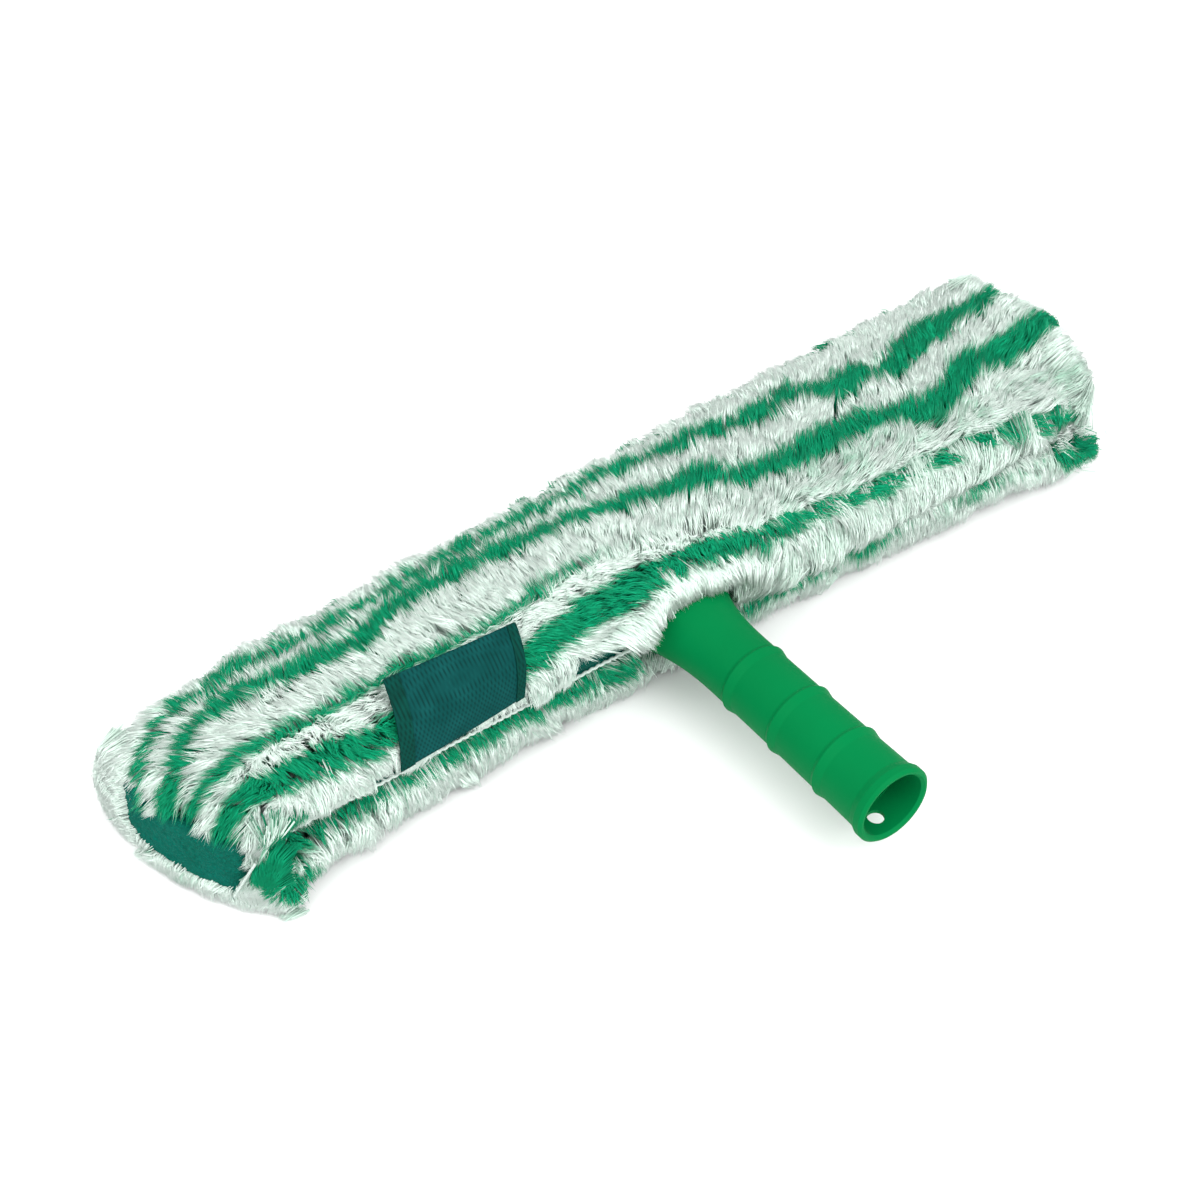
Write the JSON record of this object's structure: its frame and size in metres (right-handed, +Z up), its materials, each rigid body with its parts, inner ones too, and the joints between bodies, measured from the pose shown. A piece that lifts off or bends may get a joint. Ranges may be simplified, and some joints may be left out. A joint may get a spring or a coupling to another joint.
{
  "type": "window scrubber",
  "caption": "Window scrubber: striped plush washing sleeve with an end scouring pad and a press-stud flap, on a plastic T-bar with a hollow ringed handle that takes an extension pole.",
  "frame": {"origin": "on the surface the scrubber lies on, below the middle of its bounding box", "axes": "+X along the crossbar to the right seen from the handle's end, -Y the way the handle points, +Z up"},
  "size_m": [0.371, 0.173, 0.054],
  "materials": {
    "handle_plastic": "satin injection-moulded green polypropylene",
    "bar_plastic": "moulded green plastic, light grain",
    "screw_steel": "zinc-plated",
    "plush": "deep cut pile in lengthwise white and green stripes",
    "hem_webbing": "dark green woven tape",
    "snap_metal": "nickel-plated",
    "scouring_pad": "non-woven abrasive fleece, teal green",
    "label_cloth": "dark teal woven tape, bare"
  },
  "bodies": {
    "washer": {"handle_socket": "handle_plastic", "crossbar": "bar_plastic", "left_end_cap": "bar_plastic", "right_end_cap": "bar_plastic", "handle_screws": "screw_steel", "upper_plush": "plush", "lower_plush": "plush", "left_hem_tape": "hem_webbing", "right_hem_tape": "hem_webbing", "snap_studs": "snap_metal", "snap_posts": "snap_metal", "scrub_pad": "scouring_pad", "left_end_panel": "hem_webbing", "right_end_panel": "plush", "sewn_label": "label_cloth"},
    "flap": {"closure_flap": "plush", "left_flap_facing": "hem_webbing", "right_flap_facing": "hem_webbing", "flap_binding": "hem_webbing", "snap_sockets": "snap_metal", "snap_caps": "snap_metal"}
  },
  "joints": [
    {"name": "flap_fold", "type": "hinge", "parent": "washer", "child": "flap", "pos_m": [0, 0.0265, 0.043], "axis": [-1, 0, 0], "range_deg": [0, 95]}
  ]
}
